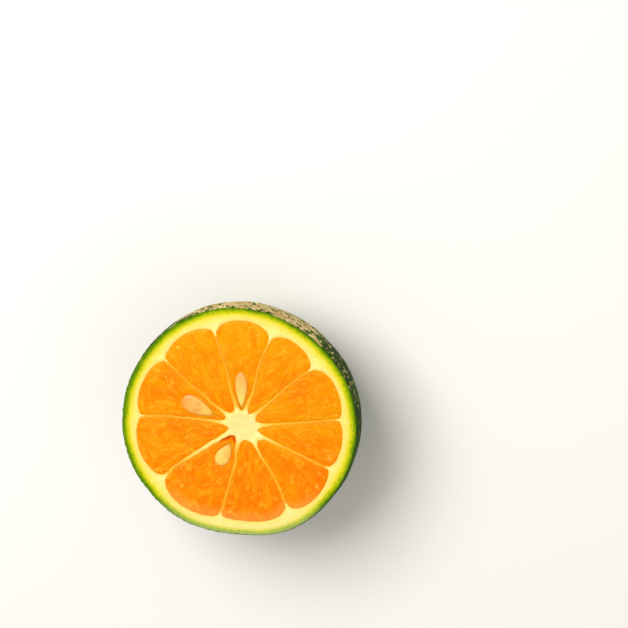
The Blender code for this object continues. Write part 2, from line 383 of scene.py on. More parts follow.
def gland_places():
    """Points spread evenly over the fruit by a spiral, each moved a little at random."""
    draw = np.random.default_rng(GLAND_DRAW)
    area = 2.0 * math.pi * EQUATOR_RADIUS * (EQUATOR_RADIUS + POLE_RADIUS)
    count = int(area / GLAND_SPACING ** 2)
    height = 1.0 - 2.0 * (np.arange(count) + 0.5) / count
    turn = np.arange(count) * math.pi * (3.0 - math.sqrt(5.0))
    level = np.sqrt(1.0 - height * height)
    places = np.stack([level * np.cos(turn), level * np.sin(turn), height], axis=1)
    places = places * (EQUATOR_RADIUS, EQUATOR_RADIUS, POLE_RADIUS) + (0.0, 0.0, EQUATOR_Z)
    return places + draw.normal(scale=GLAND_JITTER, size=places.shape)


def cork_share(points):
    """Where the side has healed as cork: a band under the cut, with islands and strays round it."""
    angle = angle_of(points) % 360.0
    below = CUT_Z - points[:, 2]
    wavy = below + CORK_EDGE_WAVE * waves(points, CORK_EDGE_LENGTH, CORK_EDGE_DRAW)
    band = smoothly(*CORK_STARTS, angle) * (1.0 - smoothly(*CORK_ENDS, angle))
    band *= 1.0 - smoothly(*CORK_FADES, wavy)
    strays = smoothly(*STRAYS_START, angle) * (1.0 - smoothly(*STRAYS_END, angle))
    strays *= STRAYS_SHARE * (1.0 - smoothly(*STRAYS_FADE, below))
    islands = layered_waves(points, CORK_ISLANDS, CORK_ISLANDS_DRAW)
    return np.maximum(smoothly(0.10, 0.95, 0.90 * band + islands), strays)


def ring_lift(turn):
    """How far the ring stands above its flat spots, the first of which is at +X."""
    between_spots = 180.0 / SPOTS
    aside = between_spots - np.abs(np.degrees(turn) % (2.0 * between_spots) - between_spots)
    return RING_RISE * smoothly(SPOT_HALF_ANGLE, between_spots, aside)


def skin_points(column, row):
    profile = skin_profile()
    turn = 2.0 * math.pi * (column % SKIN_COLUMNS) / SKIN_COLUMNS
    round_about = np.stack([np.cos(turn), np.sin(turn)], axis=1)
    first_outside = SKIN_INSIDE_ROWS + SKIN_RIM_ROWS
    last_outside = first_outside + SKIN_OUTSIDE_ROWS
    reach, height = profile[row].T
    points = np.column_stack([reach[:, None] * round_about, height])
    on_side = profile[np.maximum(row, first_outside)]
    surface = np.column_stack([on_side[:, :1] * round_about, on_side[:, 1]])
    depth = np.where(row < SKIN_INSIDE_ROWS, SKIN_THICKNESS, on_side[:, 0] - reach)
    depth = np.where(row < first_outside, depth, 0.0)

    near, gap, number = nearest_cells(gland_places(), surface)
    own = np.random.default_rng(GLAND_OWN_DRAW).uniform(size=(number.max() + 1, 2))[number]
    groove = 1.0 - smoothly(0.0, GROOVE_WIDTH, gap)
    pit = (own[:, 1] < PIT_SHARE) * (1.0 - smoothly(0.0, PIT_RADIUS, near))
    cork = cork_share(surface)
    cuts = GROOVE_DEPTH * (0.7 + 0.6 * own[:, 0]) * groove + PIT_DEPTH * pit
    relief = LUMP_HEIGHT * waves(surface, LUMP_LENGTH, LUMP_DRAW) - cuts * (1.0 - 0.6 * cork)
    relief += CORK_HEIGHT * cork * (0.6 + 0.5 * waves(surface, CORK_BUMP_LENGTH, CORK_BUMP_DRAW))
    relief += DOME_HEIGHT * (1.0 - smoothly(0.0, GLAND_SPACING, near)) * (1.0 - cork)
    relief *= np.where(row < last_outside, 1.0 - smoothly(0.0, RIM_ROUNDING, depth), 0.0)
    relief *= smoothly(*RELIEF_STARTS, height)
    out = points / EQUATOR_RADIUS ** 2
    out[:, 2] = (height - EQUATOR_Z) / POLE_RADIUS ** 2 * smoothly(0.0, RIM_ROUNDING, CUT_Z - height)
    points += out / np.maximum(lengths(out), NEARLY_ZERO)[:, None] * relief[:, None]

    level = 1.0 - smoothly(0.0, RING_FADES_BY, height)
    points[:, 2] += np.where(row < first_outside, 0.0, ring_lift(turn) * level)
    values = {"depth": depth / MM, "groove": groove, "own": own[:, 0], "pit": pit, "cork": cork}
    return pressed_out_of_round(points), values


CUT_STOPS = (
    (0.00, paint(28, 74, 2)),
    (0.05, paint(82, 122, 6)),
    (0.11, paint(134, 158, 10)),
    (0.18, paint(184, 188, 16)),
    (0.27, paint(222, 210, 34)),
    (0.37, paint(242, 218, 62)),
    (0.50, paint(250, 225, 98)),
    (0.66, paint(252, 233, 132)),
    (1.00, paint(253, 238, 150)),
)
CUT_STOPS_REACH = 6.0
CUT_WAVES = ((0.7, 4.0 * MM, 3.0), (0.9, 15.0 * MM, 2.0), (0.6, 1.1 * MM, 2.0))
CUT_GLAND_SPACING = 1.0 * MM
CUT_GLAND = paint(78, 126, 12)
CUT_LEFT_EDGE = paint(108, 148, 14)
CUT_LEFT_SIDE = (5.0 * MM, 26.0 * MM)
CUT_FROST = paint(206, 214, 130)
CUT_FROST_SIDE = (19.0 * MM, 28.0 * MM)
CUT_FROST_GRAIN = 1.2 * MM
CUT_CREAM = paint(250, 232, 164)
CUT_CREAM_SIDE = (17.0 * MM, 29.0 * MM)


def cut_colour(place, depth):
    """The cut rind's colour by its depth in millimetres, green outside and pale inside."""
    left = between(*CUT_LEFT_SIDE, 0.0 - along_axis(place, 0))
    front = 0.0 - along_axis(place, 1)
    wavy = depth - 0.15 * left
    for height, size, detail in CUT_WAVES:
        wavy = wavy + height * (noise(place, size, detail) - 0.5)
    outermost = 1.0 - between(0.2, 0.9, depth)
    glands = 1.0 - between(0.20, 0.42, cells(place, CUT_GLAND_SPACING))
    among_glands = between(0.10, 0.35, depth) * (1.0 - between(1.0, 1.8, depth))
    frost = between(*CUT_FROST_SIDE, front) * (0.5 + noise(place, CUT_FROST_GRAIN, 3.0))
    return painted_over(
        by_stops(wavy * (1.0 / CUT_STOPS_REACH), CUT_STOPS),
        (CUT_LEFT_EDGE, 0.75 * left * outermost),
        (CUT_GLAND, 0.45 * glands * among_glands),
        (CUT_FROST, 0.45 * frost * (1.0 - between(0.5, 1.6, depth))),
        (CUT_CREAM, 0.6 * between(*CUT_CREAM_SIDE, front) * between(0.8, 2.2, depth)),
    )


PEEL_DEEP_GREEN = paint(14, 46, 1)
PEEL_GREEN = paint(58, 94, 2)
PEEL_PATCH_SIZE = 17.0 * MM
PEEL_RIPE = paint(140, 150, 8)
PEEL_RIPE_SIZE = 26.0 * MM
PEEL_GLAND = paint(88, 122, 14)
# Painted shade for the grooves between the oil glands.
PEEL_GROOVE_SHADE = paint(10, 34, 3)
PEEL_SPECK = paint(132, 156, 48)
PEEL_SPECK_SIZE = 0.9 * MM
PEEL_PIT = paint(8, 30, 3)
PEEL_SCAR = paint(166, 102, 56)
PEEL_SCAR_SPACING = 7.5 * MM
PEEL_SCAR_EDGE = 1.2 * MM
PEEL_GRAIN = 0.7 * MM
PEEL_BUMP_SIZE = 0.45 * MM
PEEL_BUMP = 0.05 * MM
PEEL_SHEEN = paint(226, 240, 200)
CORK_SHADE = paint(116, 96, 38)
CORK_PALE = paint(234, 214, 150)
CORK_BROWN = paint(186, 148, 90)
CORK_BROWN_SIZE = 2.4 * MM
CORK_CHIP_SIZE = 1.5 * MM


def skin_material():
    made, place = new_material("lime_peel")
    depth = kept_value(place, "depth")
    grain = noise(place, PEEL_GRAIN, 4.0, 0.7)
    chips = noise(place, CORK_CHIP_SIZE, 4.0, 0.62, 0.7)
    cork = between(0.50, 0.57, chips + 0.36 * kept_value(place, "cork") - 0.22)
    ragged = 0.16 * (noise(place, PEEL_SCAR_EDGE, 3.0, 0.6) - 0.5)
    scars = 1.0 - between(0.03, 0.09, cells(place, PEEL_SCAR_SPACING) + ragged)
    green = painted_over(
        PEEL_DEEP_GREEN,
        (PEEL_GREEN, between(0.35, 0.65, noise(place, PEEL_PATCH_SIZE, 3.0))),
        (PEEL_RIPE, 0.8 * between(0.58, 0.76, noise(place, PEEL_RIPE_SIZE))),
        (PEEL_GLAND, 0.3 * kept_value(place, "own")),
        # Painted shade: the peel is darkened in the grooves between the glands.
        (PEEL_GROOVE_SHADE, 0.3 * kept_value(place, "groove")),
        (PEEL_SPECK, 0.45 * between(0.60, 0.72, noise(place, PEEL_SPECK_SIZE))),
        (PEEL_PIT, 0.6 * kept_value(place, "pit")),
        (PEEL_SCAR, 0.75 * scars),
    )
    tan = painted_over(
        CORK_SHADE,
        (CORK_PALE, between(0.36, 0.58, grain)),
        (CORK_BROWN, 0.6 * between(0.45, 0.65, noise(place, CORK_BROWN_SIZE, 3.0))),
    )
    colour = painted_over(green, (tan, cork), (cut_colour(place, depth), between(0.02, 0.20, depth)))
    roughness = 0.38 + 0.20 * grain + 0.30 * cork
    finish_material(made, colour, roughness, noise(place, PEEL_BUMP_SIZE, 3.0), PEEL_BUMP,
                    Specular_IOR_Level=0.03, Specular_Tint=PEEL_SHEEN)
    return made


skin, skin_column, skin_row = add_sheet("green_skin", SKIN_COLUMNS, len(skin_profile()) - 1)
place_points(skin, *skin_points(skin_column, skin_row))
weld()
face_outwards()
skin.data.materials.append(skin_material())
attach(skin, "root")
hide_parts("skin")


# Pith
# The pale inner rind, the core and the ten walls between the segments are one body. The knife
# left it level, and the walls stand a little proud of the flesh, which draws back as it dries.

CORE_CENTRE = np.array([0.9, -0.4]) * MM
CORE_RADIUS = 3.4 * MM

# For each wall and the segment after it: the wall's angle at the rind and at the core, the rind's
# thickness at the wall and over the segment, and the segment tip's distance from the core's middle.
SEGMENTS = (
    (5, 4, 4.6 * MM, 3.0 * MM, 3.8 * MM),
    (40, 43, 6.3 * MM, 3.8 * MM, 3.5 * MM),
    (71, 74, 6.8 * MM, 3.3 * MM, 4.0 * MM),
    (105, 105, 6.6 * MM, 3.4 * MM, 4.3 * MM),
    (140, 142, 5.3 * MM, 3.2 * MM, 4.7 * MM),
    (175, 171, 5.0 * MM, 3.2 * MM, 3.6 * MM),
    (214, 208, 6.2 * MM, 3.1 * MM, 3.2 * MM),
    (255, 258, 5.0 * MM, 3.4 * MM, 3.5 * MM),
    (298, 304, 6.0 * MM, 2.9 * MM, 5.2 * MM),
    (335, 332, 5.0 * MM, 3.3 * MM, 3.8 * MM),
)
WALL_ANGLES = np.array([row[:2] for row in SEGMENTS] + [(365, 364)], dtype=float)
WALL_RIND = np.array([row[2] for row in SEGMENTS + SEGMENTS[:1]])
CROWN_RIND = np.array([row[3] for row in SEGMENTS])
TIP_REACH = np.array([row[4] for row in SEGMENTS])
TIP_ROUNDING = 1.2 * MM
LEAST_DEPTH = 0.5 * MM
ARCH_POWER = 2.2

WALL_REACH = 24.0 * MM
WALL_HALF_THICKNESS = 0.28 * MM
WALL_ROOT_HALF_THICKNESS = 0.34 * MM
WALL_ROOT_LENGTH = 2.6 * MM
WALL_EXTRA = np.array([0.0, 0.0, 0.0, 0.0, 0.0, 0.0, 0.14, 0.0, 0.0, 0.0, 0.0]) * MM
WALL_PALE_TO = np.array([7.0, 6.0, 5.5, 5.5, 7.0, 8.0, 19.0, 6.0, 9.0, 10.0]) * MM
WALL_FAINT = np.array([0.2, 0.3, 0.6, 0.7, 0.8, 0.2, 0.0, 0.4, 0.1, 0.2])
WALL_WAVES = ((0.16 * MM, 9.0 * MM), (0.07 * MM, 2.6 * MM))
WALL_WAVES_FADE = (0.80, 0.93)
WALL_WAVES_X_DRAW = 31
WALL_WAVES_Y_DRAW = 33

PULP_POLE_RADIUS = 20.5 * MM
PULP_BOTTOM_ANGLE = math.radians(73.0)
PULP_LEVELS = 8

ACROSS_COLUMNS = 40
WALL_COLUMNS = 6
CORE_ROWS = 14
CHAMBER_ROWS = 56
RIND_ROWS = 14
BOWL_ROWS = 14
RIM_ROUNDS = 6
EDGE_DROP = 0.10 * MM
EDGE_LENGTH = 0.20 * MM
CORE_DIP = 0.12 * MM
CORE_DIP_FADES = (1.0 * MM, 4.0 * MM)
CORE_DIP_LENGTH = 2.0 * MM
CORE_DIP_DRAW = 43
FIBRES = ((0.03 * MM, 1.5 * MM), (0.02 * MM, 0.6 * MM))
FIBRES_FADE = (0.90, 0.93)
FIBRES_DRAW = 41
WALL_COLOUR_ENDS = 1.5 * MM


def flattened(flat):
    """Points of the cut face as points in space, at height 0."""
    return np.column_stack([flat, np.zeros(len(flat))])


def wall_angle(wall, reach):
    """Angle of a wall's middle, which bends a little between the core and the rind."""
    outer, inner = WALL_ANGLES[wall].T
    share = np.clip((reach - CORE_RADIUS) / (WALL_REACH - CORE_RADIUS), 0.0, 1.0)
    return inner + (outer - inner) * share


def section(segment, across, outward, shrink, inset):
    """Points of the segments' sections, with the half width there and the depth from tip to rind.

    across runs from -1 at one wall to 1 at the next, outward from 0 at the tip to 1 at the rind,
    shrink is the section's size as a share of the widest, and inset draws every side in.
    """
    first = WALL_ANGLES[segment, 0]
    last = WALL_ANGLES[segment + 1, 0]
    angle = (first + last) / 2 + across * (last - first) / 2
    turn = np.radians(angle)
    cut_radius = EQUATOR_RADIUS * math.sqrt(1.0 - (CUT_ABOVE_EQUATOR / POLE_RADIUS) ** 2)
    rind = cut_radius * roundness(angle)
    rind = rind - CORE_CENTRE[0] * np.cos(turn) - CORE_CENTRE[1] * np.sin(turn)
    wall_rind = WALL_RIND[segment] * (1.0 - across) / 2
    wall_rind = wall_rind + WALL_RIND[segment + 1] * (1.0 + across) / 2
    notch = (rind - wall_rind) * shrink - inset
    crown = (rind - CROWN_RIND[segment]) * shrink - inset
    end = notch + (crown - notch) * np.sqrt(np.maximum(1.0 - np.abs(across) ** ARCH_POWER, 0.0))
    start = TIP_REACH[segment] + inset + TIP_ROUNDING * np.abs(across) ** 3
    start = np.minimum(start, notch - LEAST_DEPTH)
    reach = start + (end - start) * outward
    root = np.exp(-np.maximum(reach - CORE_RADIUS, 0.0) / WALL_ROOT_LENGTH)
    beside = WALL_HALF_THICKNESS + WALL_ROOT_HALF_THICKNESS * root + inset
    low = wall_angle(segment, reach) + np.degrees((beside + WALL_EXTRA[segment]) / reach)
    high = wall_angle(segment + 1, reach) - np.degrees((beside + WALL_EXTRA[segment + 1]) / reach)
    turn = np.radians((low + high) / 2 + across * (high - low) / 2)
    flat = np.stack([reach * np.cos(turn), reach * np.sin(turn)], axis=1)
    return flat, np.radians(high - low) / 2 * reach, end - start


def wander(flat):
    """Moves points of the cut face, given from the fruit's axis, by the small waves of the walls."""
    low = flattened(flat)
    share = 1.0 - smoothly(*WALL_WAVES_FADE, lengths(flat) / EQUATOR_RADIUS)
    x = layered_waves(low, WALL_WAVES, WALL_WAVES_X_DRAW)
    y = layered_waves(low, WALL_WAVES, WALL_WAVES_Y_DRAW)
    return flat + np.stack([x * share, y * share], axis=1)


def level_of(step):
    """Height and size of a segment's section at a step down from the cut."""
    first = math.asin(CUT_ABOVE_EQUATOR / PULP_POLE_RADIUS)
    rise = first + (-PULP_BOTTOM_ANGLE - first) * step / PULP_LEVELS
    return EQUATOR_Z + PULP_POLE_RADIUS * math.sin(rise), math.cos(rise) / math.cos(first)


def draw_down(piece, inset):
    """Extrudes the selected outlines down a chamber's levels, and closes their ends."""
    for step in range(1, PULP_LEVELS + 1):
        height, shrink = level_of(step)
        bpy.ops.mesh.extrude_region_move()
        work = bmesh.from_edit_mesh(piece.data)
        picked = [point for point in work.verts if point.select]
        labels = [work.verts.layers.float[name] for name in ("segment", "across", "outward")]
        kept = np.array([[point[label] for label in labels] for point in picked])
        flat, _, _ = section(np.rint(kept[:, 0]).astype(int), kept[:, 1], kept[:, 2], shrink, inset)
        flat = wander(flat + CORE_CENTRE) - MIDDLE[:2]
        for point, (x, y) in zip(picked, flat):
            point.co = (x, y, height)
        bmesh.update_edit_mesh(piece.data)
    bpy.ops.mesh.fill_holes(sides=0)


def open_chambers(piece):
    """Deletes the faces over the chambers of the piece in edit mode, and selects their outlines."""
    bpy.ops.mesh.select_mode(type="FACE")
    bpy.ops.mesh.select_all(action="DESELECT")
    work = bmesh.from_edit_mesh(piece.data)
    hole = work.verts.layers.float["hole"]
    for face in work.faces:
        face.select_set(all(point[hole] > 0.5 for point in face.verts))
    bmesh.update_edit_mesh(piece.data)
    bpy.ops.mesh.delete(type="FACE")
    bpy.ops.mesh.select_mode(type="VERT")
    bpy.ops.mesh.select_non_manifold()


def pith_points(column, row):
    columns = ACROSS_COLUMNS + WALL_COLUMNS
    column = column % (columns * len(SEGMENTS))
    segment = column // columns
    place = column % columns
    share = np.maximum(place - ACROSS_COLUMNS, 0) / WALL_COLUMNS
    across = np.sin(math.pi / 2 * (2.0 * np.minimum(place, ACROSS_COLUMNS) / ACROSS_COLUMNS - 1.0))
    outward = np.clip((row - CORE_ROWS) / CHAMBER_ROWS, 0.0, 1.0)
    here, _, _ = section(segment, across, outward, 1.0, 0.0)
    beyond, _, _ = section((segment + 1) % len(SEGMENTS), -np.ones(len(column)), outward, 1.0, 0.0)
    edge = here + (beyond - here) * share[:, None]
    aside = np.minimum(share, 1.0 - share) * lengths(beyond - here)

    in_core = np.clip(row / CORE_ROWS, 0.0, 1.0)
    in_rind = np.clip((row - CORE_ROWS - CHAMBER_ROWS) / RIND_ROWS, 0.0, 1.0)
    bowl_row = row - CORE_ROWS - CHAMBER_ROWS - RIND_ROWS
    aim = edge / lengths(edge)[:, None]
    side = ball_side(SKIN_THICKNESS, CUT_Z, BASIN_DEPTH + SKIN_THICKNESS, BOWL_ROWS)
    towards = aim @ CORE_CENTRE
    rim = edge
    for _ in range(RIM_ROUNDS):
        limit = side[0, 0] * roundness(angle_of(rim + CORE_CENTRE))
        square = towards ** 2 - CORE_CENTRE @ CORE_CENTRE + limit ** 2
        rim = aim * (np.sqrt(square) - towards)[:, None]
    flat = edge * in_core[:, None] + (rim - edge) * in_rind[:, None]
    beside = lengths(flat - edge)
    flat = wander(flat + CORE_CENTRE)

    low = flattened(flat)
    rounding = np.exp(-np.hypot(aside, beside) / EDGE_LENGTH) * (bowl_row <= 0)
    from_core = lengths(flat - CORE_CENTRE)
    spongy = 1.0 - smoothly(*CORE_DIP_FADES, from_core)
    dip = CORE_DIP * spongy * (0.6 + 0.4 * waves(low, CORE_DIP_LENGTH, CORE_DIP_DRAW))
    fibres = layered_waves(low, FIBRES, FIBRES_DRAW)
    fibres *= 1.0 - smoothly(*FIBRES_FADE, lengths(flat) / EQUATOR_RADIUS)
    points = np.column_stack([flat, CUT_Z - EDGE_DROP * rounding - dip + fibres])

    turn = np.radians(angle_of(rim + CORE_CENTRE))
    reach, lower = side[np.clip(bowl_row, 0, BOWL_ROWS)].T
    reach = np.where(bowl_row > BOWL_ROWS, 0.0, reach)
    bowl = np.stack([reach * np.cos(turn), reach * np.sin(turn), lower], axis=1)
    points = np.where((bowl_row > 0)[:, None], pressed_out_of_round(bowl), points)

    outline = EQUATOR_RADIUS * roundness(angle_of(points))
    wall = (segment + (across > 0)) % len(SEGMENTS)
    faint = smoothly(0.25, 0.45, outward) * (1.0 - smoothly(0.80, 0.95, outward))
    values = {
        "segment": segment, "across": across, "outward": outward,
        "hole": (share == 0) & (row >= CORE_ROWS) & (row <= CORE_ROWS + CHAMBER_ROWS),
        "depth": (outline - lengths(points[:, :2])) / MM, "reach": from_core / MM,
        "pale": 1.0 - smoothly(0.3, 1.3, from_core / WALL_PALE_TO[wall]),
        "faint": WALL_FAINT[wall] * faint,
        "wall": 1.0 - smoothly(0.0, WALL_COLOUR_ENDS, beside),
    }
    return points, values


PITH_CREAM = paint(252, 232, 146)
PITH_CREAM_SIZE = 3.0 * MM
PITH_CLOUDS = 1.5 * MM
PITH_FUZZ_SIZE = 0.35 * MM
PITH_FUZZ = 0.06 * MM
CORE_CREAM = paint(248, 227, 146)
CORE_SHADE = paint(242, 220, 134)
CORE_GRAIN = 1.1 * MM
CORE_ENDS = (2.9, 4.3)
WALL_STOPS = ((0.0, paint(254, 176, 30)), (0.5, paint(253, 204, 78)), (1.0, paint(253, 226, 126)))
WALL_SUNK = paint(251, 156, 8)
WALL_SUNK_SIZE = 5.0 * MM
WALL_UNDER_FLESH = paint(250, 156, 8)
WALL_OUTER_END = paint(252, 220, 112)


def pith_material():
    made, place = new_material("pale_pith")
    outward = kept_value(place, "outward")
    pale = kept_value(place, "pale")
    sunk = between(0.42, 0.62, noise(place, WALL_SUNK_SIZE)) * between(0.3, 0.7, outward)
    wall = painted_over(
        by_stops(pale, WALL_STOPS),
        (WALL_SUNK, 0.75 * sunk * (1.0 - 0.6 * pale)),
        (WALL_UNDER_FLESH, 0.9 * kept_value(place, "faint")),
        (WALL_OUTER_END, between(0.96, 1.0, outward)),
    )
    core = painted_over(CORE_CREAM, (CORE_SHADE, noise(place, CORE_GRAIN, 4.0)))
    colour = painted_over(
        cut_colour(place, kept_value(place, "depth")),
        (PITH_CREAM, 0.35 * between(0.45, 0.7, noise(place, PITH_CREAM_SIZE, 4.0))),
        (wall, kept_value(place, "wall")),
        (core, 1.0 - between(*CORE_ENDS, kept_value(place, "reach"))),
    )
    roughness = 0.45 + 0.2 * noise(place, PITH_CLOUDS)
    finish_material(made, colour, roughness, noise(place, PITH_FUZZ_SIZE, 3.0, 0.6), PITH_FUZZ,
                    Subsurface_Weight=0.15, Subsurface_Scale=0.002, Specular_IOR_Level=0.25)
    return made


pith_rows = CORE_ROWS + CHAMBER_ROWS + RIND_ROWS + BOWL_ROWS + 1
pith_columns = (ACROSS_COLUMNS + WALL_COLUMNS) * len(SEGMENTS)
pith, pith_column, pith_row = add_sheet("pale_pith_and_walls", pith_columns, pith_rows)
place_points(pith, *pith_points(pith_column, pith_row))
weld()
open_chambers(pith)
draw_down(pith, 0.0)
face_outwards()
pith.data.materials.append(pith_material())
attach(pith, "root")
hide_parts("pith")


# Seeds
# Three seeds show in the cut, each in a pocket of the flesh. Their smooth coats are wet, blunt
# towards the rind and drawn to a point towards the core.

# For each seed: the place of its middle, where its point aims, its length, width and thickness.
SEEDS = (
    (0.9 * MM, 9.0 * MM, 270.0, 8.8 * MM, 2.9 * MM, 2.5 * MM),
    (-10.4 * MM, 4.3 * MM, 335.0, 8.6 * MM, 4.1 * MM, 3.1 * MM),
    (-3.9 * MM, -7.8 * MM, 58.0, 6.3 * MM, 3.5 * MM, 3.0 * MM),
)
SEED_TAPER = 0.42
SEED_STANDS_PROUD = 0.32 * MM
SEED_WIDEST_BELOW_CUT = 0.14 * MM
SEED_RIBS = 11
SEED_RIB_HEIGHT = 0.010
SEED_RIB_TWIST = 3.0
SEED_DENT = 0.012
SEED_DENT_LENGTH = 0.9
SEED_DENT_DRAW = 50

# For each seed's coat: its blunt end, its middle, its point and its stain.
SEED_COATS = (
    (paint(250, 166, 72), paint(250, 198, 98), paint(250, 222, 104), paint(224, 176, 70)),
    (paint(250, 162, 66), paint(251, 184, 84), paint(252, 208, 92), paint(206, 112, 60)),
    (paint(253, 212, 96), paint(253, 204, 96), paint(250, 174, 72), paint(250, 150, 50)),
)
SEED_RIM = paint(248, 146, 20)
SEED_BLEND_SIZE = 2.0 * MM
SEED_STAIN_SIZE = 1.6 * MM
SEED_CLOUDS = 0.8 * MM
SEED_BUMP_SIZE = 0.5 * MM
SEED_BUMP = 0.03 * MM


def seed_points(ball, number, x, y, tip_angle, length, width, thickness):
    """A ball's points as those of a seed, blunt at one end and pointed at the other."""
    around = np.arctan2(ball[:, 2], ball[:, 1])
    ribs = SEED_RIB_HEIGHT * np.sin(SEED_RIBS * around + SEED_RIB_TWIST * ball[:, 0])
    dents = SEED_DENT * waves(ball, SEED_DENT_LENGTH, SEED_DENT_DRAW + number)
    slim = (1.0 - SEED_TAPER * ball[:, 0]) * (1.0 + ribs + dents)
    above = SEED_STANDS_PROUD + SEED_WIDEST_BELOW_CUT
    half_thickness = np.where(ball[:, 2] > 0, above, thickness - above)
    seed = np.stack([ball[:, 0] * length / 2, ball[:, 1] * width / 2 * slim,
                     ball[:, 2] * half_thickness * slim], axis=1)
    seed[:, 2] += CUT_Z + SEED_STANDS_PROUD - seed[:, 2].max()
    cosine = math.cos(math.radians(tip_angle))
    sine = math.sin(math.radians(tip_angle))
    turned = seed @ np.array([[cosine, sine, 0.0], [-sine, cosine, 0.0], [0.0, 0.0, 1.0]])
    return turned + (x, y, 0.0), {"along": 0.5 + 0.5 * ball[:, 0], "above": ball[:, 2]}


def seed_material(name, blunt, middle, pointed, stain):
    made, place = new_material(name)
    lean = kept_value(place, "along") + 0.25 * (noise(place, SEED_BLEND_SIZE, 3.0) - 0.5)
    coat = painted_over(
        by_stops(lean, ((0.0, blunt), (0.5, middle), (1.0, pointed))),
        (stain, 0.35 * between(0.56, 0.68, noise(place, SEED_STAIN_SIZE, 3.0))),
    )
    colour = painted_over(SEED_RIM, (coat, between(0.0, 0.75, kept_value(place, "above"))))
    roughness = 0.26 + 0.2 * noise(place, SEED_CLOUDS)
    finish_material(made, colour, roughness, noise(place, SEED_BUMP_SIZE), SEED_BUMP,
                    Subsurface_Weight=0.25, Subsurface_Scale=0.002, Specular_IOR_Level=0.4)
    return made


for number, (shape, coats) in enumerate(zip(SEEDS, SEED_COATS), start=1):
    seed = add_piece(f"pip_{number:02d}", bpy.ops.mesh.primitive_uv_sphere_add,
                     segments=96, ring_count=64, radius=1.0)
    bpy.ops.object.mode_set(mode="EDIT")
    bpy.ops.transform.rotate(value=math.pi / 2, orient_axis="Y", center_override=(0.0, 0.0, 0.0))
    bpy.ops.object.mode_set(mode="OBJECT")
    place_points(seed, *seed_points(points_of(seed), number, *shape))
    bpy.ops.object.shade_smooth_by_angle(angle=SHARP_ANGLE)
    seed.data.materials.append(seed_material(f"seed_coat_{number}", *coats))
    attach(seed, "root")
    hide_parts(f"seed_{number:02d}")


# Pulp
# Each segment is packed with juice sacs, drawn-out drops that point at the core. The knife left
# some whole and domed, and opened others, and their wet walls catch the light as short flecks.

PULP_COLUMNS = 100
PULP_ROWS = 150
PULP_OVERLAP = 0.03 * MM
SHOULDER_DROP = 0.15 * MM
SHOULDER_LENGTH = 0.9 * MM
BULGE = 0.12 * MM
BULGE_LENGTH = 3.0 * MM
PULP_GRAIN = 0.02 * MM
PULP_GRAIN_LENGTH = 0.8 * MM
PULP_GRAIN_DRAW = 80

SAC_WIDTH = 1.25 * MM
SAC_STRETCH = 3.0
SAC_SHAKE = 0.38
SAC_PLACES_DRAW = 70
SAC_OWN_DRAW = 90
SACS_ASIDE = 12
SACS_OUTWARD = 13
SAC_MIDDLE_REACH = 14.0 * MM
SAC_MIDDLE_ASIDE = 7.0 * MM
SAC_SWAY = 0.30 * MM
SAC_SWAY_LENGTH = 6.0 * MM
SAC_SWAY_DRAW = 60
SAC_GROOVE_WIDTH = 0.40 * MM
SAC_GROOVE_DEPTH = 0.09 * MM
SAC_STEP = 0.10 * MM
OPENED_SHARE = 0.30
OPENED_DEPTH = 0.12 * MM
OPENED_EDGE = (0.20 * MM, 0.65 * MM)

SEED_SEAT = 0.93
SEED_SEAT_EDGE = (0.98, 1.45)
SEED_PRESSED_IN = 0.4 * MM
HOLLOW_SEGMENT = 6
HOLLOW_DEPTH = 0.9 * MM
HOLLOW_EDGE = (0.5 * MM, 1.6 * MM)
HOLLOW_ENDS = (5.0 * MM, 8.0 * MM)


def sac_places(seed):
    """The sacs' middles, in rows that are staggered and then shaken."""
    draw = np.random.default_rng(seed)
    side = np.arange(-SACS_ASIDE, SACS_ASIDE + 1) * SAC_WIDTH
    deep = np.arange(-1, SACS_OUTWARD) * SAC_WIDTH
    aside, outward = np.meshgrid(side, deep)
    aside[1::2] += SAC_WIDTH / 2
    flat = np.stack([aside.ravel(), outward.ravel(), np.zeros(aside.size)], axis=1)
    flat[:, :2] += draw.uniform(-SAC_SHAKE, SAC_SHAKE, (len(flat), 2)) * SAC_WIDTH
    return flat


def sac_relief(segment, flat):
    """The sacs of a segment: its points' places among them, their relief, and how they are lit."""
    reach = lengths(flat)
    turn = np.radians((angle_of(flat) - WALL_ANGLES[segment].mean()) % 360.0)
    turn = np.where(turn > math.pi, turn - 2.0 * math.pi, turn)
    around = turn * np.sqrt(SAC_MIDDLE_REACH * reach) - SAC_MIDDLE_ASIDE
    sway = waves(flattened(flat), SAC_SWAY_LENGTH, SAC_SWAY_DRAW + segment)
    around = around + SAC_SWAY * sway
    drawn = np.stack([around, reach / SAC_STRETCH, np.zeros(len(reach))], axis=1)
    _, gap, number = nearest_cells(sac_places(SAC_PLACES_DRAW + segment), drawn)
    draw = np.random.default_rng(SAC_OWN_DRAW + segment)
    own = draw.uniform(size=(number.max() + 1, 3))[number]
    groove = 1.0 - smoothly(0.0, SAC_GROOVE_WIDTH, gap)
    opened = (own[:, 1] < OPENED_SHARE) * smoothly(*OPENED_EDGE, gap)
    relief = SAC_STEP * (own[:, 2] - 0.5) * (1.0 - groove)
    relief -= SAC_GROOVE_DEPTH * groove + OPENED_DEPTH * opened
    return relief, {"own": own[:, 0], "groove": groove, "opened": opened,
                    "around": around / MM, "reach": reach / MM}


